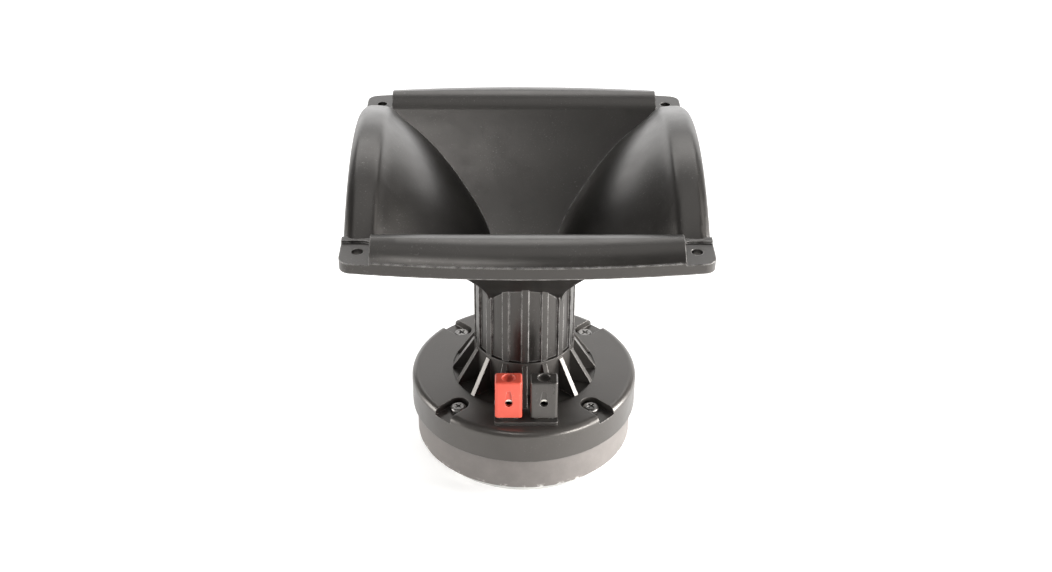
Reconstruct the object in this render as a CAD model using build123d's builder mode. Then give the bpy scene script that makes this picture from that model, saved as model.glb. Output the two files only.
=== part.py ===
"""Screw-on compression driver with a moulded radial horn.

The origin is the centre of the back plate's underside. +Z runs along the horn's axis to its
mouth, and -Y is the side with the two push terminals. All sizes are in millimetres.
"""
import os
from math import cos, radians, sin

from build123d import *

os.makedirs("parts", exist_ok=True)

# --- Motor -----------------------------------------------------------------------------
back_plate_r = 44.5
back_plate_h = 5.0
magnet_r = 49.0
magnet_bore_r = 27.0
magnet_top = 21.4
top_plate_r = 46.0
top_plate_h = 5.0
pole_r = 21.5
coil_r = 22.0                    # middle of the former's wall, a 44 mm voice coil
former_wall = 0.2
winding_wall = 0.45
gap_bore_r = 22.95
fit = 0.05                       # clearance of parts that seat in one another

top_plate_top = magnet_top + top_plate_h

# --- Diaphragm ---------------------------------------------------------------------------
ring_r = 36.0
ring_bore_r = 26.5
ring_h = 3.0
dome_rim_z = top_plate_top + ring_h
dome_height = 6.5
film = 0.3
pin_circle_r = 33.0
pin_r = 1.5
eyelet_y = -34.0

dome_r = coil_r + former_wall / 2
dome_sphere_r = (dome_r**2 + dome_height**2) / (2 * dome_height)
dome_centre_z = dome_rim_z + dome_height - dome_sphere_r

# --- Front cover -------------------------------------------------------------------------
cover_r = 51.0
cover_top = 36.7
cover_wall = 3.0
cover_edge_r = 3.0
neck_r = 22.4
neck_top = 53.3
dish_r = 32.4
dish_depth = 0.5
fin_count = 16
fin_width = 2.2
screw_circle_r = 41.3
screw_seat = 33.2
pocket_r = 4.7
boss_r = 5.0
throat_r = 12.7                  # a 1 inch exit
plug_flange_r = 21.0
plug_r = 16.0
plug_shoulder = 36.0
plug_top = 50.0

# --- Screw-on thread, 1 3/8 inch x 18 ----------------------------------------------------
thread_r = 17.35
thread_pitch = 1.411
thread_depth = 0.8
thread_play = 0.1
snout_root_r = thread_r - thread_depth
snout_top = 67.6
gasket_h = 1.0

# --- Horn --------------------------------------------------------------------------------
wall = 3.0
pad_top = 136.6
flange_bottom = 132.3
shoulder_top = pad_top + 1.0
flange_half_x = 71.8
flange_half_y = 75.0
flange_bow = 5.3
flange_corner_r = 5.0
pad_half = 59.9
hole_pitch_x = 130.0
hole_pitch_y = 133.0
hole_r = 2.25
lip_r = 15.0
lip_crest_y = 68.5
lip_crest_z = pad_top + 6.5
lip_start_deg = 48.0             # how far down the inside of the lip's roll the bell begins
cheek_axis_z = 56.6              # the side walls turn about a line along X at this height
cheek_r = 100.0
cheek_x = 71.5
cheek_edge_r = 4.5
collar_bottom = 53.7
collar_top = 108.0
collar_r = 21.4
collar_rib_r = 22.4
collar_rib_width = 3.1
rib_count = 16
flare_start = 79.0
spline_steps = 9
beyond = 95.0                    # clear of the whole part, for cutting volumes

# --- Push terminals ----------------------------------------------------------------------
cap_pitch = 15.2
cap_centre_x = 0.5
cap_y = -40.0
cap_width = 11.7
cap_depth = 8.0
cap_bottom = 40.2
cap_top = 58.5
cap_wall = 1.4
cap_roof = 2.0
cap_travel = 1.8
wire_r = 1.7
wire_z = 47.7
base_top = 38.2
base_width = 27.4
base_depth = 9.8
post_width = 8.1
post_depth = 4.4
post_top = 53.4
spring_bore_r = 1.5
spring_r = 1.1
spring_wire_r = 0.2
spring_seat = 49.0
contact_width = 5.0
contact_thick = 0.6
contact_bottom = 30.0
contact_top = 52.0

red_x = cap_centre_x - cap_pitch / 2
black_x = cap_centre_x + cap_pitch / 2
cap_ceiling = cap_top - cap_roof
cap_front = cap_y - cap_depth / 2
contact_y = cap_y - post_depth / 2 + contact_thick / 2


# =========================================================================================
# Motor
# =========================================================================================
with BuildPart() as back_plate:
    Cylinder(back_plate_r, back_plate_h, align=(Align.CENTER, Align.CENTER, Align.MIN))
    chamfer(back_plate.edges().filter_by(GeomType.CIRCLE), 0.6)

with BuildPart() as pole_piece:
    with BuildSketch(Plane.XY.offset(back_plate_h)):
        Circle(pole_r)
    extrude(amount=top_plate_top - back_plate_h)
    chamfer(pole_piece.edges().group_by(Axis.Z)[-1], 0.8)

with BuildPart() as magnet_ring:
    with BuildSketch(Plane.XY.offset(back_plate_h)):
        Circle(magnet_r)
        Circle(magnet_bore_r, mode=Mode.SUBTRACT)
    extrude(amount=magnet_top - back_plate_h)
    chamfer(magnet_ring.edges().filter_by(GeomType.CIRCLE), 0.7)

with BuildPart() as top_plate:
    with BuildSketch(Plane.XY.offset(magnet_top)):
        Circle(top_plate_r)
        Circle(gap_bore_r, mode=Mode.SUBTRACT)
        with PolarLocations(screw_circle_r, 4, start_angle=45):
            Circle(2.0 + fit, mode=Mode.SUBTRACT)
        with PolarLocations(pin_circle_r, 2):
            Circle(pin_r + fit, mode=Mode.SUBTRACT)
    extrude(amount=top_plate_h)

with BuildPart() as pole_damping_pad:
    with BuildSketch(Plane.XY.offset(top_plate_top)):
        Circle(15.0)
    extrude(amount=1.0)

# =========================================================================================
# Moving system: the former and its winding hang in the gap from the dome's rim
# =========================================================================================
with BuildPart() as voice_coil_former:
    with BuildSketch(Plane.XY.offset(dome_rim_z)):
        Circle(coil_r + former_wall / 2)
        Circle(coil_r - former_wall / 2, mode=Mode.SUBTRACT)
    extrude(amount=-9.9)

with BuildPart() as voice_coil_winding:
    with BuildSketch(Plane.XY.offset(magnet_top + 1.0)):
        Circle(coil_r + former_wall / 2 + winding_wall)
        Circle(coil_r + former_wall / 2, mode=Mode.SUBTRACT)
    extrude(amount=top_plate_h - 2.0)

with BuildPart() as diaphragm_dome:
    with BuildSketch(Plane.XZ):
        with Locations((0, dome_centre_z)):
            Circle(dome_sphere_r)
            Circle(dome_sphere_r - film, mode=Mode.SUBTRACT)
        with Locations((0, dome_rim_z)):
            Rectangle(2 * dome_r, 10.0, align=(Align.MIN, Align.MIN), mode=Mode.INTERSECT)
    revolve(axis=Axis.Z)

with BuildPart() as diaphragm_surround:
    with BuildSketch(Plane.XZ):
        with BuildLine():
            Line((dome_r, dome_rim_z), (dome_r, dome_rim_z + film))
            ThreePointArc(
                (dome_r, dome_rim_z + film), (24.3, dome_rim_z + 1.3), (ring_bore_r, dome_rim_z + film)
            )
            Line((ring_bore_r, dome_rim_z + film), (29.5, dome_rim_z + film))
            Line((29.5, dome_rim_z + film), (29.5, dome_rim_z))
            Line((29.5, dome_rim_z), (ring_bore_r, dome_rim_z))
            ThreePointArc(
                (ring_bore_r, dome_rim_z), (24.3, dome_rim_z + 1.3 - film), (dome_r, dome_rim_z)
            )
        make_face()
    revolve(axis=Axis.Z)

with BuildPart() as diaphragm_ring:
    with BuildSketch(Plane.XY.offset(top_plate_top)):
        Circle(ring_r)
        Circle(ring_bore_r, mode=Mode.SUBTRACT)
        with PolarLocations(pin_circle_r, 2):
            Circle(pin_r + fit, mode=Mode.SUBTRACT)
    extrude(amount=ring_h)
    with BuildSketch(Plane.XY.offset(dome_rim_z)):
        with Locations((red_x, eyelet_y), (black_x, eyelet_y)):
            Circle(0.8 + fit)
    extrude(amount=-ring_h, mode=Mode.SUBTRACT)

with BuildPart() as locating_pins:
    with BuildSketch(Plane.XY.offset(magnet_top + 1.0)):
        with PolarLocations(pin_circle_r, 2):
            Circle(pin_r)
    extrude(amount=dome_rim_z - magnet_top - 1.5)

with BuildPart() as ring_eyelets:
    with BuildSketch(Plane.XY.offset(dome_rim_z - ring_h + 0.4)):
        with Locations((red_x, eyelet_y), (black_x, eyelet_y)):
            Circle(0.8)
    extrude(amount=ring_h - 0.4)
    with BuildSketch(Plane.XY.offset(dome_rim_z)):
        with Locations((red_x, eyelet_y), (black_x, eyelet_y)):
            Circle(1.5)
    extrude(amount=0.4)

with BuildPart() as lead_wires:
    for at_x in (red_x, black_x):
        with BuildLine() as lead_path:
            Polyline(
                (at_x, contact_y + contact_thick / 2, dome_rim_z + 1.0),
                (at_x, eyelet_y + 1.0, dome_rim_z + 1.0),
            )
        with BuildSketch(Plane.XZ.offset(-contact_y - contact_thick / 2)):
            with Locations((at_x, dome_rim_z + 1.0)):
                Circle(0.6)
        sweep(path=lead_path.line)

# =========================================================================================
# Phase plug: three nested rings on four webs, concentric with the dome
# =========================================================================================
plug_sphere_r = dome_sphere_r + 1.1


def dome_side(radius):
    """Height of the plug's underside at a distance from the axis."""
    return dome_centre_z + (plug_sphere_r**2 - radius**2) ** 0.5


with BuildPart() as phase_plug:
    with BuildSketch(Plane.XZ):
        with BuildLine():
            Polyline((0, dome_side(0)), (0, 50.0), (2.0, 47.0), (6.3, dome_side(6.3)))
            ThreePointArc((6.3, dome_side(6.3)), (3.2, dome_side(3.2)), (0, dome_side(0)))
        make_face()
        with BuildLine():
            Polyline((8.0, dome_side(8)), (6.2, 46.5), (7.6, 46.5), (14.5, dome_side(14.5)))
            ThreePointArc((14.5, dome_side(14.5)), (11.2, dome_side(11.2)), (8.0, dome_side(8)))
        make_face()
        with BuildLine():
            Polyline(
                (16.2, dome_side(16.2)),
                (12.7, 44.0),
                (12.7, plug_top),
                (plug_r, plug_top),
                (plug_r, plug_shoulder),
                (plug_flange_r, plug_shoulder),
                (plug_flange_r, dome_side(plug_flange_r)),
            )
            ThreePointArc(
                (plug_flange_r, dome_side(plug_flange_r)), (18.6, dome_side(18.6)), (16.2, dome_side(16.2))
            )
        make_face()
    revolve(axis=Axis.Z)
    with BuildSketch(Plane.XY.offset(40.0)):
        with PolarLocations(0, 2, angular_range=180):
            Rectangle(26.5, 1.2)
    extrude(amount=4.0)

# =========================================================================================
# Front cover with its fins, and the threaded snout seated in its neck
# =========================================================================================
with BuildPart() as front_cover:
    with BuildSketch(Plane.XY.offset(magnet_top)):
        Circle(cover_r)
    extrude(amount=cover_top - magnet_top)
    fillet(front_cover.edges().group_by(Axis.Z)[-1], cover_edge_r)
    # Space for the top plate and the diaphragm ring.
    with BuildSketch(Plane.XY.offset(magnet_top)):
        Circle(top_plate_r + fit)
    extrude(amount=cover_top - cover_wall - magnet_top, mode=Mode.SUBTRACT)
    # Inner boss that holds the diaphragm ring down, and a shallow dish above it.
    with BuildSketch(Plane.XY.offset(dome_rim_z + film)):
        Circle(dish_r + 1.6)
    extrude(amount=cover_top - cover_wall - dome_rim_z - film)
    with BuildSketch(Plane.XY.offset(cover_top)):
        Circle(dish_r)
    extrude(amount=-dish_depth, mode=Mode.SUBTRACT)
    # Neck that holds the phase plug and the snout.
    with BuildSketch(Plane.XY.offset(cover_top - cover_wall)):
        Circle(neck_r)
    extrude(amount=neck_top - cover_top + cover_wall)
    # Fins that brace the neck, standing on the cover's top.
    with BuildSketch(Plane.XZ) as fin_profile:
        Polygon(
            (neck_r - 1.0, cover_top - 1.0),
            (neck_r - 1.0, neck_top - 1.2),
            (neck_r + 0.4, neck_top - 1.2),
            (dish_r + 0.3, cover_top),
            (dish_r + 0.3, cover_top - 1.0),
            align=None,
        )
    one_fin = extrude(amount=fin_width / 2, both=True, mode=Mode.PRIVATE)
    with PolarLocations(0, fin_count):
        add(one_fin)
    # Space over the surround, and the seats for the phase plug and the snout.
    with BuildSketch(Plane.XY.offset(dome_rim_z - 1.0)):
        Circle(ring_bore_r + 0.5)
    extrude(amount=3.1, mode=Mode.SUBTRACT)
    with BuildSketch(Plane.XY.offset(dome_rim_z)):
        Circle(plug_flange_r + fit)
    extrude(amount=plug_shoulder + fit - dome_rim_z, mode=Mode.SUBTRACT)
    with BuildSketch(Plane.XY.offset(plug_shoulder)):
        Circle(plug_r + fit)
    extrude(amount=plug_top + fit - plug_shoulder, mode=Mode.SUBTRACT)
    with BuildSketch(Plane.XY.offset(plug_top + fit)):
        Circle(snout_root_r + fit)
    extrude(amount=neck_top - plug_top, mode=Mode.SUBTRACT)
    # Screw bosses, with a pocket and a notch out through the cover's edge.
    with BuildSketch(Plane.XY.offset(top_plate_top)):
        with PolarLocations(screw_circle_r, 4, start_angle=45):
            Circle(boss_r)
        with PolarLocations(screw_circle_r + 4.0, 4, start_angle=45):
            Rectangle(8.0, 2 * boss_r)
        Circle(top_plate_r + 1.0, mode=Mode.INTERSECT)
    extrude(amount=cover_top - cover_wall - top_plate_top)
    with BuildSketch(Plane.XY.offset(screw_seat)):
        with PolarLocations(screw_circle_r, 4, start_angle=45):
            Circle(pocket_r)
        with PolarLocations(screw_circle_r + 10.0, 4, start_angle=45):
            Rectangle(20.0, 2 * pocket_r)
    extrude(amount=10.0, mode=Mode.SUBTRACT)
    with BuildSketch(Plane.XY.offset(screw_seat)):
        with PolarLocations(screw_circle_r, 4, start_angle=45):
            Circle(2.0 + fit)
    extrude(amount=top_plate_top - screw_seat, mode=Mode.SUBTRACT)
    # Relief over the ring's eyelets and their leads.
    with BuildSketch(Plane.XY.offset(dome_rim_z)):
        with Locations((red_x, eyelet_y), (black_x, eyelet_y)):
            Rectangle(4.0, 5.0)
    extrude(amount=2.4, mode=Mode.SUBTRACT)
    # Slots for the two contacts.
    with BuildSketch(Plane.XY.offset(cover_top)):
        with Locations((red_x, contact_y), (black_x, contact_y)):
            Rectangle(contact_width + 2 * fit, contact_thick + 2 * fit)
    extrude(amount=-2 * cover_wall, mode=Mode.SUBTRACT)

with BuildPart() as threaded_snout:
    with BuildSketch(Plane.XY.offset(plug_top + fit)):
        Circle(snout_root_r)
    extrude(amount=snout_top - plug_top - fit)
    # Thread crests, one ring to each turn.
    with BuildSketch(Plane.XZ):
        for crest in range(int((snout_top - neck_top - 1.6) / thread_pitch)):
            crest_z = neck_top + 1.4 + crest * thread_pitch
            Polygon(
                (snout_root_r - 0.5, crest_z - 0.62),
                (snout_root_r, crest_z - 0.62),
                (thread_r, crest_z - 0.1),
                (thread_r, crest_z + 0.1),
                (snout_root_r, crest_z + 0.62),
                (snout_root_r - 0.5, crest_z + 0.62),
                align=None,
            )
    revolve(axis=Axis.Z)
    with BuildSketch(Plane.XY.offset(plug_top)):
        Circle(throat_r)
    extrude(amount=snout_top - plug_top, mode=Mode.SUBTRACT)

with BuildPart() as cover_screws:
    with BuildSketch(Plane.XY.offset(screw_seat)):
        with PolarLocations(screw_circle_r, 4, start_angle=45):
            Circle(3.5)
    extrude(amount=2.4)
    fillet(cover_screws.edges().group_by(Axis.Z)[-1], 1.2)
    with BuildSketch(Plane.XY.offset(screw_seat)):
        with PolarLocations(screw_circle_r, 4, start_angle=45):
            Circle(2.0)
    extrude(amount=magnet_top + 1.0 - screw_seat)
    with BuildSketch(Plane.XY.offset(screw_seat + 2.4)):
        with PolarLocations(screw_circle_r, 4, start_angle=45):
            Rectangle(3.6, 0.9)
            Rectangle(0.9, 3.6)
    extrude(amount=-1.5, taper=12, mode=Mode.SUBTRACT)

# =========================================================================================
# Push terminals: a sprung cap slides on each post of the base
# =========================================================================================
with BuildPart() as terminal_base:
    with BuildSketch(Plane.XY.offset(cover_top)):
        with Locations((cap_centre_x, cap_y)):
            RectangleRounded(base_width, base_depth, 1.2)
    extrude(amount=base_top - cover_top)
    with BuildSketch(Plane.XY.offset(base_top)):
        with Locations((red_x, cap_y), (black_x, cap_y)):
            RectangleRounded(post_width, post_depth, 0.4)
    extrude(amount=post_top - base_top)
    with BuildSketch(Plane.XY.offset(spring_seat)):
        with Locations((red_x, cap_y), (black_x, cap_y)):
            Circle(spring_bore_r)
    extrude(amount=post_top - spring_seat, mode=Mode.SUBTRACT)
    # Each contact stands in a slot in the front of its post.
    with BuildSketch(Plane.XY.offset(cover_top)):
        with Locations((red_x, contact_y), (black_x, contact_y)):
            Rectangle(contact_width + 2 * fit, contact_thick + 2 * fit)
    extrude(amount=contact_top + fit - cover_top, mode=Mode.SUBTRACT)
    with BuildSketch(Plane.XZ.offset(-cap_y)):
        with Locations((red_x, wire_z - cap_travel), (black_x, wire_z - cap_travel)):
            Circle(wire_r)
    extrude(amount=base_depth / 2, both=True, mode=Mode.SUBTRACT)


def make_cap(at_x):
    """One push cap: a hollow box, open below, with a wire hole and a thumb dimple."""
    with BuildPart() as cap:
        with BuildSketch(Plane.XY.offset(cap_bottom)):
            with Locations((at_x, cap_y)):
                RectangleRounded(cap_width, cap_depth, 1.3)
        extrude(amount=cap_top - cap_bottom)
        fillet(cap.edges().group_by(Axis.Z)[-1], 0.9)
        with BuildSketch(Plane.XY.offset(cap_bottom)):
            with Locations((at_x, cap_y)):
                Rectangle(cap_width - 2 * cap_wall, cap_depth - 2 * cap_wall)
        extrude(amount=cap_ceiling - cap_bottom, mode=Mode.SUBTRACT)
        # Dimple in the roof.
        with BuildSketch(Plane.XZ.offset(-cap_y)):
            with Locations((at_x, cap_top)):
                Ellipse(2.9, 1.1)
            with Locations((at_x, cap_top)):
                Rectangle(10.0, 10.0, align=(Align.MIN, Align.CENTER), mode=Mode.INTERSECT)
        revolve(axis=Axis((at_x, cap_y, 0), (0, 0, 1)), mode=Mode.SUBTRACT)
        # Funnel that leads a wire down the front face to the hole.
        with BuildSketch(Plane.XZ.offset(-cap_front)):
            with Locations((at_x, wire_z + 3.2)):
                Trapezoid(3.4, 6.4, 98, rotation=180)
            fillet(vertices(), 0.6)
        extrude(amount=-0.6, mode=Mode.SUBTRACT)
        with BuildSketch(Plane.XZ.offset(-cap_front)):
            with Locations((at_x, wire_z)):
                Circle(wire_r)
        extrude(amount=-2 * cap_wall, mode=Mode.SUBTRACT)
    return cap.part


def make_spring(at_x):
    """Compression spring between the post and the cap's roof."""
    with BuildPart() as spring:
        height = cap_ceiling - spring_seat - 2 * spring_wire_r
        start = (at_x, cap_y, spring_seat + spring_wire_r)
        with BuildLine() as coil:
            Helix(pitch=height / 6, height=height, radius=spring_r, center=start)
        with BuildSketch(Plane(coil.line @ 0, z_dir=coil.line % 0)):
            Circle(spring_wire_r)
        sweep(path=coil.line)
    return spring.part


def make_contact(at_x):
    """Plated strip in the front of a post, with its tail as a solder tag inside the cover."""
    with BuildPart() as contact:
        with BuildSketch(Plane.XZ.offset(-contact_y)):
            with Locations((at_x, contact_bottom)):
                Rectangle(contact_width, contact_top - contact_bottom, align=(Align.CENTER, Align.MIN))
            with Locations((at_x, wire_z - cap_travel)):
                Circle(wire_r, mode=Mode.SUBTRACT)
        extrude(amount=contact_thick / 2, both=True)
    return contact.part


terminals = {}
for colour, at_x in (("red", red_x), ("black", black_x)):
    terminals[f"terminal_cap_{colour}"] = make_cap(at_x)
    terminals[f"terminal_spring_{colour}"] = make_spring(at_x)
    terminals[f"terminal_contact_{colour}"] = make_contact(at_x)

# =========================================================================================
# Horn
# =========================================================================================
with BuildPart() as throat_gasket:
    with BuildSketch(Plane.XY.offset(snout_top)):
        Circle(thread_r - 0.4)
        Circle(throat_r, mode=Mode.SUBTRACT)
    extrude(amount=gasket_h)


def moved_spline(points, start, end, grow):
    """Spline through the points, moved to its right by an amount. start and end are its directions."""
    middle = Spline(*points, tangents=[start, end], mode=Mode.PRIVATE)
    moved = []
    for step in range(spline_steps + 1):
        at = middle @ (step / spline_steps)
        along = middle % (step / spline_steps)
        moved.append((at.X + grow * along.Y, at.Y - grow * along.X))
    return Spline(*moved, tangents=[start, end])


def near_far_volume(grow):
    """The space between the near and far walls, over the lips, grown outwards by an amount."""
    centre_z = lip_crest_z - lip_r
    start_y = lip_crest_y - lip_r * sin(radians(lip_start_deg))
    start_z = centre_z + lip_r * cos(radians(lip_start_deg))
    edge_z = centre_z + (lip_r**2 - (flange_half_y + flange_bow - lip_crest_y) ** 2) ** 0.5 - grow
    edge_y = lip_crest_y + ((lip_r - grow) ** 2 - (edge_z - centre_z) ** 2) ** 0.5
    with BuildPart() as volume:
        with BuildSketch(Plane.YZ):
            with BuildLine():
                bell = moved_spline(
                    [(throat_r, flare_start), (19.0, 92.0), (39.5, 117.5), (start_y, start_z)],
                    (0, 1),
                    (cos(radians(lip_start_deg)), sin(radians(lip_start_deg))),
                    grow,
                )
                ThreePointArc(bell @ 1, (lip_crest_y, lip_crest_z - grow), (edge_y, edge_z))
                Polyline((edge_y, edge_z), (beyond, edge_z), (beyond, 175.0), (0, 175.0))
                Polyline((0, 175.0), (0, flare_start - grow), (throat_r + grow, flare_start - grow))
                if grow > 0:
                    Line((throat_r + grow, flare_start - grow), bell @ 0)
            make_face()
            mirror(about=Plane.YZ)
        extrude(amount=beyond, both=True)
    return volume.part


def side_volume(grow):
    """The space between the side walls and over the cheeks, grown outwards by an amount."""
    edge_x = cheek_x - grow
    edge_z = cheek_r - cheek_edge_r
    with BuildPart() as volume:
        with BuildSketch(Plane.XY.offset(cheek_axis_z)):
            with BuildLine():
                side = moved_spline(
                    [
                        (throat_r, 24.0),
                        (16.2, 45.5),
                        (27.8, 66.0),
                        (45.4, 87.0),
                        (57.0, 96.8),
                        (cheek_x - cheek_edge_r, cheek_r),
                    ],
                    (0, 1),
                    (1, 0),
                    grow,
                )
                RadiusArc(side @ 1, (edge_x, edge_z), cheek_edge_r - grow)
                Polyline((edge_x, edge_z), (edge_x, 70.0 - grow), (beyond, 70.0 - grow))
                Polyline((beyond, 70.0 - grow), (beyond, 175.0), (0, 175.0), (0, 5.0))
                Polyline((0, 5.0), (throat_r + grow, 5.0), side @ 0)
            make_face()
            mirror(about=Plane.YZ)
        revolve(axis=Axis((0, 0, cheek_axis_z), (1, 0, 0)), revolution_arc=180)
    return volume.part


def flange_outline(inset):
    """Sketch of the flange: straight ends, and long edges that bow out in the middle."""
    with BuildSketch() as outline:
        with BuildLine():
            Line((-flange_half_x, -flange_half_y), (-flange_half_x, flange_half_y))
            ThreePointArc(
                (-flange_half_x, flange_half_y),
                (0, flange_half_y + flange_bow),
                (flange_half_x, flange_half_y),
            )
            Line((flange_half_x, flange_half_y), (flange_half_x, -flange_half_y))
            ThreePointArc(
                (flange_half_x, -flange_half_y),
                (0, -flange_half_y - flange_bow),
                (-flange_half_x, -flange_half_y),
            )
        make_face()
        fillet(outline.vertices(), flange_corner_r)
        offset(amount=-inset)
    return outline.sketch


with BuildPart() as envelope:
    with BuildSketch(Plane.XY.offset(flange_bottom)):
        add(flange_outline(0))
    extrude(amount=40.0)
    with BuildSketch(Plane.XY.offset(flare_start)):
        Rectangle(2 * pad_half, 2 * pad_half)
    extrude(amount=flange_bottom - flare_start)

# The lips' outer halves follow the bow of the flange's long edges.
bow_r = (flange_half_x**2 + flange_bow**2) / (2 * flange_bow)
bow_centre_y = flange_half_y + flange_bow - bow_r
bow_half_turn = 10.0
lip_setback = 0.5                # how far inside the straight lip the bowed one starts

with BuildPart() as bowed_lip_space:
    turned = radians(bow_half_turn)
    start_plane = Plane(
        origin=(0, bow_centre_y, 0), x_dir=(-sin(turned), cos(turned), 0), z_dir=(cos(turned), sin(turned), 0)
    )
    crest_at = lip_crest_y - lip_setback - bow_centre_y
    edge_at = bow_r - lip_setback
    edge_drop = lip_r - (lip_r**2 - (edge_at - crest_at) ** 2) ** 0.5
    with BuildSketch(start_plane):
        with BuildLine():
            RadiusArc((crest_at, lip_crest_z), (edge_at, lip_crest_z - edge_drop), lip_r)
            Polyline(
                (edge_at, lip_crest_z - edge_drop),
                (edge_at + 10.0, lip_crest_z - edge_drop),
                (edge_at + 10.0, lip_crest_z + 10.0),
                (crest_at, lip_crest_z + 10.0),
                (crest_at, lip_crest_z),
            )
        make_face()
    revolve(axis=Axis((0, bow_centre_y, 0), (0, 0, -1)), revolution_arc=2 * bow_half_turn)
    mirror(about=Plane.XZ)

# Shoulders beside the cheeks, one step above the corner pads.
with BuildPart() as shoulder_space:
    add(side_volume(0))
    with BuildSketch(Plane.XY.offset(shoulder_top)):
        with Locations((-pad_half - 15.0, 0), (pad_half + 15.0, 0)):
            Rectangle(30.0, 2 * beyond)
    extrude(amount=40.0, mode=Mode.INTERSECT)

# The space between the four walls, and over the lips and cheeks.
with BuildPart() as inner_space:
    add(near_far_volume(0))
    add(side_volume(0), mode=Mode.INTERSECT)

with BuildPart() as horn:
    # Walls: the grown inner space, held inside the flange's outline.
    add(side_volume(wall))
    add(envelope.part, mode=Mode.INTERSECT)
    add(near_far_volume(wall), mode=Mode.INTERSECT)
    # Outer rim all round the flange.
    with BuildSketch(Plane.XY.offset(flange_bottom)):
        add(flange_outline(0))
        add(flange_outline(wall), mode=Mode.SUBTRACT)
    extrude(amount=25.0)
    # Solid corners for the bolts.
    with BuildSketch(Plane.XY.offset(flange_bottom)):
        with GridLocations(hole_pitch_x, hole_pitch_y, 2, 2):
            Rectangle(20.0, 30.0)
        add(flange_outline(0), mode=Mode.INTERSECT)
    extrude(amount=shoulder_top - flange_bottom)
    # Collar with its grip ribs.
    with BuildSketch(Plane.XY.offset(collar_bottom)):
        Circle(collar_r)
    extrude(amount=collar_top - collar_bottom)
    with BuildSketch(Plane.XY.offset(collar_bottom)):
        with PolarLocations(collar_rib_r - 1.5, rib_count):
            Rectangle(3.0, collar_rib_width)
        Circle(collar_rib_r, mode=Mode.INTERSECT)
    extrude(amount=collar_top - collar_bottom)
    add(inner_space.part, mode=Mode.SUBTRACT)
    add(bowed_lip_space.part, mode=Mode.SUBTRACT)
    add(shoulder_space.part, mode=Mode.SUBTRACT)
    # Corner pads and their bolt holes.
    with BuildSketch(Plane.XY.offset(pad_top)):
        with GridLocations(2 * pad_half + 40.0, 2 * pad_half + 40.0, 2, 2):
            RectangleRounded(40.0, 40.0, 3.0)
    extrude(amount=30.0, mode=Mode.SUBTRACT)
    with BuildSketch(Plane.XY.offset(flange_bottom)):
        with GridLocations(hole_pitch_x, hole_pitch_y, 2, 2):
            Circle(hole_r)
    extrude(amount=10.0, mode=Mode.SUBTRACT)
    # Socket for the snout, round throat, and its passage into the square start of the flare.
    with BuildSketch(Plane.XY.offset(collar_bottom)):
        Circle(thread_r + thread_play)
    extrude(amount=snout_top + gasket_h - collar_bottom, mode=Mode.SUBTRACT)
    with BuildSketch(Plane.XY.offset(snout_top)):
        Circle(throat_r)
    extrude(amount=flare_start - 8.0 - snout_top, mode=Mode.SUBTRACT)
    with BuildSketch(Plane.XY.offset(flare_start - 8.0)):
        Circle(throat_r)
    with BuildSketch(Plane.XY.offset(flare_start)):
        RectangleRounded(2 * throat_r, 2 * throat_r, 3.0)
    loft(mode=Mode.SUBTRACT)

# =========================================================================================
# One file for each piece
# =========================================================================================
pieces = {
    "back_plate": back_plate.part,
    "pole_piece": pole_piece.part,
    "magnet_ring": magnet_ring.part,
    "top_plate": top_plate.part,
    "pole_damping_pad": pole_damping_pad.part,
    "voice_coil_former": voice_coil_former.part,
    "voice_coil_winding": voice_coil_winding.part,
    "diaphragm_dome": diaphragm_dome.part,
    "diaphragm_surround": diaphragm_surround.part,
    "diaphragm_ring": diaphragm_ring.part,
    "locating_pins": locating_pins.part,
    "ring_eyelets": ring_eyelets.part,
    "lead_wires": lead_wires.part,
    "phase_plug": phase_plug.part,
    "front_cover": front_cover.part,
    "threaded_snout": threaded_snout.part,
    "cover_screws": cover_screws.part,
    "terminal_base": terminal_base.part,
    "throat_gasket": throat_gasket.part,
    "horn": horn.part,
}
pieces.update(terminals)
for name, piece in pieces.items():
    piece.label = name
    export_step(piece, f"parts/{name}.step")
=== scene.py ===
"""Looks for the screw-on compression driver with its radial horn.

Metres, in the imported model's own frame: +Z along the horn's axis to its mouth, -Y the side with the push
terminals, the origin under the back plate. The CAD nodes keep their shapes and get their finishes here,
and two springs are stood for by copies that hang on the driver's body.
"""
import math

import bpy
from mathutils import Matrix, Vector


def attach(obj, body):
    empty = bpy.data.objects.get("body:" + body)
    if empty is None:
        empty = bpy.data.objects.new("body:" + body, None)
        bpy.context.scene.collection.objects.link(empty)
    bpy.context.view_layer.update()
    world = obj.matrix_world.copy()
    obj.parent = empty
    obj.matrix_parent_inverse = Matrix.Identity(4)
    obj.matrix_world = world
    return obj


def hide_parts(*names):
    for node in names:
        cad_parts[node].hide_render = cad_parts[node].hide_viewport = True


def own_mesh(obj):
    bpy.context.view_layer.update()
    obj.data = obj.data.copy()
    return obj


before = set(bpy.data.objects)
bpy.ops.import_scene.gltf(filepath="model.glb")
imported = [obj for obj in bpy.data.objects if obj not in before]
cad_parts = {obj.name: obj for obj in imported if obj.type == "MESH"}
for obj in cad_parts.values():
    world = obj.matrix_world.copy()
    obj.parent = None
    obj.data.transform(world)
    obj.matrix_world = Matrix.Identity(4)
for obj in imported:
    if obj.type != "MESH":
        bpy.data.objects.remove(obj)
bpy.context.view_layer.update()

MM = 0.001

GLUE_TOP = 7.4 * MM      # the glue at the magnet's foot fades out here
GLUE_FULL = 5.2 * MM

# Camera: where it stands and how it is turned.
CAMERA_PLACE = Vector((-8.09, -544.65, 420.35)) * MM
CAMERA_YAW = math.radians(0.914)         # towards +X
CAMERA_PITCH = math.radians(32.03)       # down
CAMERA_ROLL = math.radians(0.5075)
CAMERA_LENS = 49.76

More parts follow.
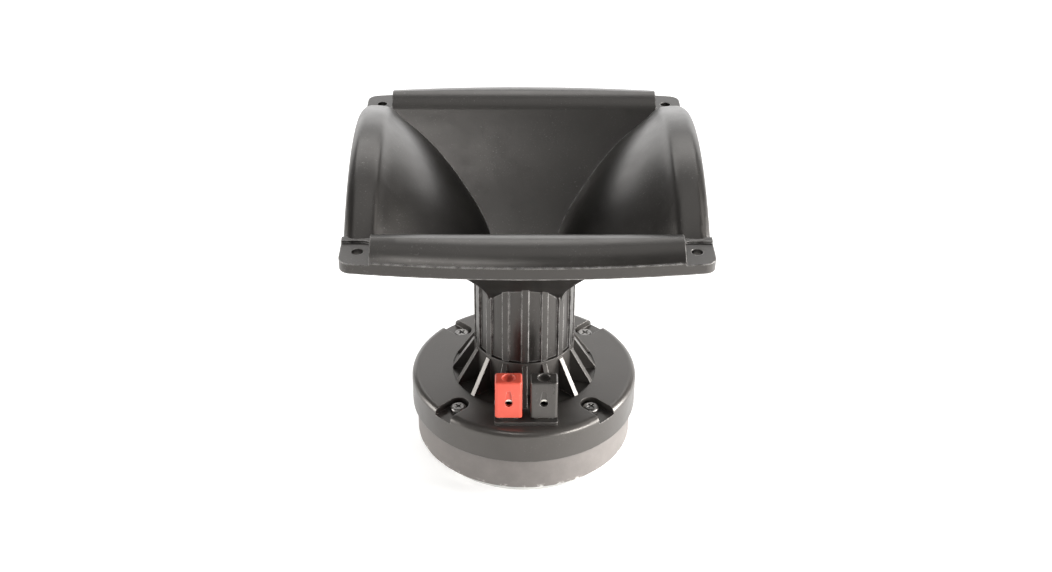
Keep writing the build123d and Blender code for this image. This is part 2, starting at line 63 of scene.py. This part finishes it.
FLOOR_HALF_SIZE = 6.0
WORLD_STRENGTH = 0.12
WARM = (1, 0.985, 0.965)
WARMER = (1, 0.975, 0.95)
WHITE = (1, 1, 1)

# Name, place, target, size, power in watts and colour of each studio light.
LIGHTS = (
    ("back_low", (0, 1.9, 0.5), (0, 0, 0.15), (3.4, 1.0), 21.0, WHITE),
    ("back_high", (0, 1.3, 1.5), (0, 0, 0.15), (2.0, 0.8), 14.0, WHITE),
    ("overhead", (0, 0.05, 1.3), (0, 0, 0.1), (0.9, 0.7), 2.0, WHITE),
    ("front_spot", (-0.15, -0.46, 0.8), (0, 0.05, 0.11), (0.18, 0.18), 1.0, WHITE),
    ("right_low", (0.9, -0.05, 0.2), (0, 0, 0.08), (0.5, 0.4), 17.0, WARM),
    ("left_low", (-0.9, -0.05, 0.2), (0, 0, 0.08), (0.5, 0.4), 7.0, WARM),
    ("right_front", (0.7, -0.6, 0.11), (0, 0, 0.06), (0.4, 0.12), 7.0, WARM),
    ("top_right", (0.5, 0.05, 0.62), (0, 0, 0.12), (0.3, 0.3), 0.5, WARMER),
)


# ------------------------------------------------------------------------------------------
# Camera, floor and light
# ------------------------------------------------------------------------------------------
def add_camera():
    forward = Vector((
        math.sin(CAMERA_YAW) * math.cos(CAMERA_PITCH),
        math.cos(CAMERA_YAW) * math.cos(CAMERA_PITCH),
        -math.sin(CAMERA_PITCH),
    ))
    level = forward.cross(Vector((0, 0, 1))).normalized()
    upright = level.cross(forward)
    right = math.cos(CAMERA_ROLL) * level + math.sin(CAMERA_ROLL) * upright
    up = -math.sin(CAMERA_ROLL) * level + math.cos(CAMERA_ROLL) * upright
    data = bpy.data.cameras.new("camera")
    data.lens = CAMERA_LENS
    data.sensor_width = 36.0
    camera = bpy.data.objects.new("camera", data)
    turn = Matrix((right, up, -forward)).transposed().to_4x4()
    camera.matrix_world = Matrix.Translation(CAMERA_PLACE) @ turn
    bpy.context.scene.collection.objects.link(camera)
    bpy.context.scene.camera = camera


def add_area_light(name, place, target, size, power, colour):
    data = bpy.data.lights.new(name, "AREA")
    data.shape = "RECTANGLE"
    data.size, data.size_y = size
    data.energy = power
    data.color = colour
    light = bpy.data.objects.new(name, data)
    light.location = place
    aim = Vector(target) - Vector(place)
    light.rotation_euler = aim.to_track_quat("-Z", "Y").to_euler()
    bpy.context.scene.collection.objects.link(light)


def add_studio():
    mesh = bpy.data.meshes.new("floor")
    half = FLOOR_HALF_SIZE
    corners = [(-half, -half, 0), (half, -half, 0), (half, half, 0), (-half, half, 0)]
    mesh.from_pydata(corners, [], [(0, 1, 2, 3)])
    floor = bpy.data.objects.new("floor", mesh)
    bpy.context.scene.collection.objects.link(floor)
    material = bpy.data.materials.new("floor_white")
    material.use_nodes = True
    shader = material.node_tree.nodes["Principled BSDF"]
    shader.inputs["Base Color"].default_value = (0.93, 0.93, 0.93, 1)
    shader.inputs["Roughness"].default_value = 0.85
    shader.inputs["Specular IOR Level"].default_value = 0.1
    shader.inputs["Emission Color"].default_value = (1, 0.995, 0.985, 1)
    shader.inputs["Emission Strength"].default_value = 0.4
    mesh.materials.append(material)

    world = bpy.data.worlds.new("studio")
    bpy.context.scene.world = world
    world.use_nodes = True
    background = world.node_tree.nodes["Background"]
    background.inputs["Color"].default_value = (1.0, 0.995, 0.985, 1)
    background.inputs["Strength"].default_value = WORLD_STRENGTH

    for light in LIGHTS:
        add_area_light(*light)
    bpy.context.scene.view_settings.view_transform = "Standard"


# ------------------------------------------------------------------------------------------
# Materials
# ------------------------------------------------------------------------------------------
class Nodes:
    """A short way to write a material's nodes: make one, set its sockets, link it."""

    def __init__(self, name):
        self.material = bpy.data.materials.new(name)
        self.material.use_nodes = True
        self.tree = self.material.node_tree
        self.shader = self.tree.nodes["Principled BSDF"]
        self.place = self.add("ShaderNodeTexCoord").outputs["Object"]

    def add(self, kind, **settings):
        made = self.tree.nodes.new(kind)
        for key, value in settings.items():
            setattr(made, key, value)
        return made

    def put(self, socket, value):
        if isinstance(value, bpy.types.NodeSocket):
            self.tree.links.new(value, socket)
        else:
            socket.default_value = value

    def noise(self, scale, detail=4.0, roughness=0.55, stretch=None, distortion=0.0):
        place = self.place
        if stretch is not None:
            mapping = self.add("ShaderNodeMapping")
            self.put(mapping.inputs["Vector"], self.place)
            mapping.inputs["Scale"].default_value = stretch
            place = mapping.outputs["Vector"]
        made = self.add("ShaderNodeTexNoise")
        self.put(made.inputs["Vector"], place)
        made.inputs["Scale"].default_value = scale
        made.inputs["Detail"].default_value = detail
        made.inputs["Roughness"].default_value = roughness
        made.inputs["Distortion"].default_value = distortion
        return made.outputs["Fac"]

    def spread(self, value, low, high, to_low=0.0, to_high=1.0):
        made = self.add("ShaderNodeMapRange", clamp=True)
        self.put(made.inputs["Value"], value)
        made.inputs["From Min"].default_value = low
        made.inputs["From Max"].default_value = high
        made.inputs["To Min"].default_value = to_low
        made.inputs["To Max"].default_value = to_high
        return made.outputs["Result"]

    def math(self, operation, first, second=0.0):
        made = self.add("ShaderNodeMath", operation=operation)
        self.put(made.inputs[0], first)
        self.put(made.inputs[1], second)
        return made.outputs["Value"]

    def blend(self, amount, first, second):
        made = self.add("ShaderNodeMix", data_type="RGBA")
        self.put(made.inputs["Factor"], amount)
        for key, value in (("A", first), ("B", second)):
            socket = next(s for s in made.inputs if s.name == key and s.type == "RGBA")
            if isinstance(value, bpy.types.NodeSocket):
                self.put(socket, value)
            else:
                socket.default_value = (*value, 1)
        return next(s for s in made.outputs if s.type == "RGBA")

    def rounded(self, radius):
        """The surface's normal with its edges rounded off."""
        made = self.add("ShaderNodeBevel", samples=6)
        made.inputs["Radius"].default_value = radius
        return made.outputs["Normal"]

    def edges(self, radius, low=0.02, high=0.25):
        """0 on flat surfaces, rising to 1 along edges."""
        geometry = self.add("ShaderNodeNewGeometry")
        product = self.add("ShaderNodeVectorMath", operation="DOT_PRODUCT")
        self.put(product.inputs[0], self.rounded(radius))
        self.put(product.inputs[1], geometry.outputs["Normal"])
        return self.spread(self.math("SUBTRACT", 1.0, product.outputs["Value"]), low, high)

    def bump(self, height, strength, distance, normal=None):
        made = self.add("ShaderNodeBump")
        self.put(made.inputs["Height"], height)
        made.inputs["Strength"].default_value = strength
        made.inputs["Distance"].default_value = distance
        if normal is not None:
            self.put(made.inputs["Normal"], normal)
        return made.outputs["Normal"]

    def finish(self, colour, roughness, normal=None, **constants):
        self.put(self.shader.inputs["Base Color"], colour)
        self.put(self.shader.inputs["Roughness"], roughness)
        if normal is not None:
            self.put(self.shader.inputs["Normal"], normal)
        for key, value in constants.items():
            self.shader.inputs[key.replace("_", " ")].default_value = value
        return self.material


def moulded_plastic(
    name, dark, light, wear_dust_and_highlight, rough, grain, peel,
    edge_radius=0.3 * MM, wear_and_highlight_radius=0.35 * MM, wear_and_highlight=0.5, specular=0.5, dust=0.0,
):
    """Moulded plastic: cloudy colour, a fine grain over a slow orange peel, pale patchy edge lines that are
    partly rubbed wear and partly painted highlight, and dust.
    """
    n = Nodes(name)
    clouds = n.noise(38.0, 5.0)
    colour = n.blend(n.spread(clouds, 0.3, 0.7), dark, light)
    # Patchy pale lines along every edge, concave as well as convex: partly rubbed wear, partly a painted
    # highlight where an edge catches the light.
    scuffs_and_highlight_patches = n.spread(n.noise(240.0, 6.0, 0.7), 0.36, 0.6)
    rubbed_and_highlit_edges = n.math("MULTIPLY", n.edges(wear_and_highlight_radius, 0.01, 0.08), n.math("MULTIPLY", scuffs_and_highlight_patches, wear_and_highlight))
    colour = n.blend(rubbed_and_highlit_edges, colour, wear_dust_and_highlight)
    if dust > 0:
        specks = n.spread(n.noise(1300.0, 4.0, 0.6), 0.6, 0.8)
        patches = n.spread(n.noise(55.0, 3.0), 0.42, 0.66, 0.0, dust)
        colour = n.blend(n.math("MULTIPLY", specks, patches), colour, wear_dust_and_highlight)
    smears = n.noise(95.0, 6.0, 0.65, distortion=0.6)
    roughness = n.spread(smears, 0.25, 0.75, rough[0], rough[1])
    normal = n.bump(n.noise(420.0, 2.0), peel, 0.06 * MM, n.rounded(edge_radius))
    normal = n.bump(n.noise(2600.0, 3.0), grain, 0.02 * MM, normal)
    return n.finish(
        colour, roughness, normal, Specular_IOR_Level=specular, Specular_Tint=(1.0, 0.95, 0.9, 1.0)
    )


def ferrite():
    """Sintered ferrite: matte warm grey with a coarse mottle, pale chips and glue at its lower edge."""
    n = Nodes("ferrite_grey")
    mottle = n.noise(140.0, 8.0, 0.7)
    colour = n.blend(n.spread(mottle, 0.3, 0.7), (0.142, 0.13, 0.122), (0.182, 0.167, 0.157))
    chips = n.math("MULTIPLY", n.edges(0.9 * MM), n.spread(n.noise(420.0, 5.0, 0.7), 0.5, 0.65, 0.0, 0.6))
    colour = n.blend(chips, colour, (0.33, 0.32, 0.31))
    parts = n.add("ShaderNodeSeparateXYZ")
    n.put(parts.inputs[0], n.place)
    low = n.spread(parts.outputs["Z"], GLUE_TOP, GLUE_FULL)
    glue = n.spread(n.noise(160.0, 6.0, 0.75), 0.52, 0.6)
    colour = n.blend(n.math("MULTIPLY", low, glue), colour, (0.74, 0.73, 0.7))
    normal = n.bump(n.noise(800.0, 6.0, 0.7), 0.35, 0.12 * MM, n.rounded(0.6 * MM))
    return n.finish(colour, n.spread(mottle, 0.3, 0.7, 0.5, 0.68), normal, Specular_IOR_Level=0.45)


def metal(name, dark, light, rough, radius=0.3 * MM, turned=False, scratches=0.25):
    """Plated or bare metal: cloudy tone, fine scratches, and turning rings where it was on a lathe."""
    n = Nodes(name)
    clouds = n.noise(90.0, 5.0)
    colour = n.blend(n.spread(clouds, 0.3, 0.7), dark, light)
    spots = n.spread(n.noise(700.0, 4.0, 0.7), 0.62, 0.78, 0.0, 0.5)
    colour = n.blend(spots, colour, tuple(0.55 * c for c in dark))
    lines = n.noise(220.0, 4.0, 0.6, stretch=(1, 1, 30) if turned else (1, 12, 1))
    roughness = n.spread(lines, 0.3, 0.7, rough[0], rough[1])
    normal = n.bump(lines, scratches, 0.03 * MM, n.rounded(radius))
    return n.finish(colour, roughness, normal, Metallic=1.0)


def wound_wire():
    """Enamelled copper wire wound side by side."""
    n = Nodes("wound_copper")
    winding_wave_and_shade = n.add("ShaderNodeTexWave", bands_direction="Z")
    n.put(winding_wave_and_shade.inputs["Vector"], n.place)
    winding_wave_and_shade.inputs["Scale"].default_value = 1500.0
    winding_wave_and_shade.inputs["Distortion"].default_value = 0.4
    # Each turn painted lighter on its crown and darker in the groove beside it, in step with the bump:
    # painted highlight and painted shade.
    colour = n.blend(winding_wave_and_shade.outputs["Fac"], (0.32, 0.1, 0.035), (0.72, 0.3, 0.12))
    normal = n.bump(winding_wave_and_shade.outputs["Fac"], 0.6, 0.1 * MM)
    return n.finish(colour, n.spread(n.noise(300.0), 0.3, 0.7, 0.22, 0.4), normal, Metallic=0.85)


def film(name, dark, light, metallic, rough):
    """Thin formed sheet, with the faint ripple that forming leaves."""
    n = Nodes(name)
    colour = n.blend(n.spread(n.noise(120.0, 5.0), 0.3, 0.7), dark, light)
    normal = n.bump(n.noise(700.0, 3.0), 0.2, 0.05 * MM)
    return n.finish(colour, n.spread(n.noise(200.0), 0.3, 0.7, rough[0], rough[1]), normal, Metallic=metallic)


def soft_foam(name, dark, light):
    """Matte rubber or foam with open pores."""
    n = Nodes(name)
    pores = n.add("ShaderNodeTexVoronoi")
    n.put(pores.inputs["Vector"], n.place)
    pores.inputs["Scale"].default_value = 1400.0
    # Pits of the bump painted darker than the surface around them: painted shade in the pores.
    pore_depth_and_shade = n.spread(pores.outputs["Distance"], 0.1, 0.6)
    colour = n.blend(pore_depth_and_shade, dark, light)
    return n.finish(colour, n.spread(n.noise(300.0), 0.3, 0.7, 0.8, 0.95), n.bump(pore_depth_and_shade, 0.6, 0.15 * MM))


# ------------------------------------------------------------------------------------------
# Copies that stand in for the terminals' springs
# ------------------------------------------------------------------------------------------
def add_springs(material):
    """The terminals' coil springs, stood for by copies on the driver's body."""
    for colour in ("red", "black"):
        node = f"terminal_spring_{colour}"
        spring = bpy.data.objects.new(f"press_spring_{colour}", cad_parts[node].data.copy())
        bpy.context.scene.collection.objects.link(spring)
        spring.data.materials.clear()
        spring.data.materials.append(material)
        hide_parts(node)
        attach(spring, "driver")
        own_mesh(spring)


def assign(material, *names):
    for name in names:
        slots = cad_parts[name].material_slots
        for slot in slots:
            slot.material = material


def finish_cad_nodes():
    # The pale edge lines set below for each plastic are partly rubbed wear and partly painted highlight.
    assign(
        moulded_plastic(
            "horn_black", (0.0085, 0.0078, 0.0072), (0.014, 0.0128, 0.0118), (0.36, 0.35, 0.34),
            rough=(0.27, 0.37), grain=0.3, peel=0.25, edge_radius=0.5 * MM, wear_and_highlight_radius=0.85 * MM, wear_and_highlight=0.9,
            specular=0.8, dust=0.4,
        ),
        "horn",
    )
    assign(
        moulded_plastic(
            "cover_black", (0.03, 0.0278, 0.0258), (0.042, 0.039, 0.0363), (0.3, 0.29, 0.28),
            rough=(0.27, 0.37), grain=0.12, peel=0.2, edge_radius=0.4 * MM, wear_and_highlight_radius=0.6 * MM, wear_and_highlight=0.35,
            specular=0.85, dust=0.3,
        ),
        "front_cover",
        "threaded_snout",
    )
    assign(
        moulded_plastic(
            "terminal_black", (0.028, 0.0265, 0.025), (0.042, 0.0395, 0.037), (0.32, 0.31, 0.3),
            rough=(0.24, 0.38), grain=0.1, peel=0.15, wear_and_highlight=0.8, specular=0.8, dust=0.5,
        ),
        "terminal_cap_black", "terminal_base",
    )
    assign(
        moulded_plastic(
            "terminal_red", (0.6, 0.07, 0.045), (0.72, 0.11, 0.07), (0.9, 0.5, 0.42),
            rough=(0.3, 0.42), grain=0.1, peel=0.15, wear_and_highlight=0.5, dust=0.4,
        ),
        "terminal_cap_red",
    )
    assign(
        moulded_plastic(
            "inner_plastic", (0.03, 0.03, 0.03), (0.05, 0.049, 0.047), (0.12, 0.12, 0.12),
            rough=(0.4, 0.55), grain=0.25, peel=0.2,
        ),
        "phase_plug", "diaphragm_ring",
    )
    assign(ferrite(), "magnet_ring")
    assign(metal("zinc_plate", (0.6, 0.6, 0.59), (0.74, 0.74, 0.72), (0.25, 0.42), turned=True), "back_plate")
    assign(metal("yoke_steel", (0.42, 0.42, 0.42), (0.55, 0.55, 0.54), (0.3, 0.5)), "pole_piece", "top_plate")
    assign(metal("pin_steel", (0.62, 0.62, 0.62), (0.72, 0.72, 0.72), (0.15, 0.3)), "locating_pins")
    assign(metal("screw_black_zinc", (0.16, 0.155, 0.15), (0.3, 0.29, 0.28), (0.25, 0.45)), "cover_screws")
    assign(
        metal("tin_plate", (0.6, 0.58, 0.52), (0.78, 0.76, 0.7), (0.14, 0.3), radius=0.12 * MM),
        "terminal_contact_red", "terminal_contact_black", "ring_eyelets",
    )
    spring_wire = metal("spring_wire", (0.5, 0.5, 0.5), (0.68, 0.68, 0.67), (0.15, 0.3), radius=0.05 * MM)
    assign(spring_wire, "terminal_spring_red", "terminal_spring_black")
    add_springs(spring_wire)
    assign(metal("lead_copper", (0.6, 0.28, 0.13), (0.75, 0.4, 0.2), (0.25, 0.45)), "lead_wires")
    assign(wound_wire(), "voice_coil_winding")
    assign(film("amber_film", (0.45, 0.22, 0.05), (0.6, 0.34, 0.1), 0.0, (0.2, 0.35)), "voice_coil_former")
    assign(film("titanium_foil", (0.42, 0.41, 0.39), (0.55, 0.54, 0.52), 1.0, (0.22, 0.38)), "diaphragm_dome")
    assign(
        film("surround_film", (0.5, 0.4, 0.25), (0.62, 0.52, 0.34), 0.0, (0.3, 0.45)), "diaphragm_surround"
    )
    assign(soft_foam("damping_foam", (0.03, 0.03, 0.03), (0.08, 0.08, 0.08)), "pole_damping_pad")
    assign(soft_foam("gasket_rubber", (0.02, 0.02, 0.02), (0.04, 0.04, 0.04)), "throat_gasket")


add_camera()
add_studio()
finish_cad_nodes()
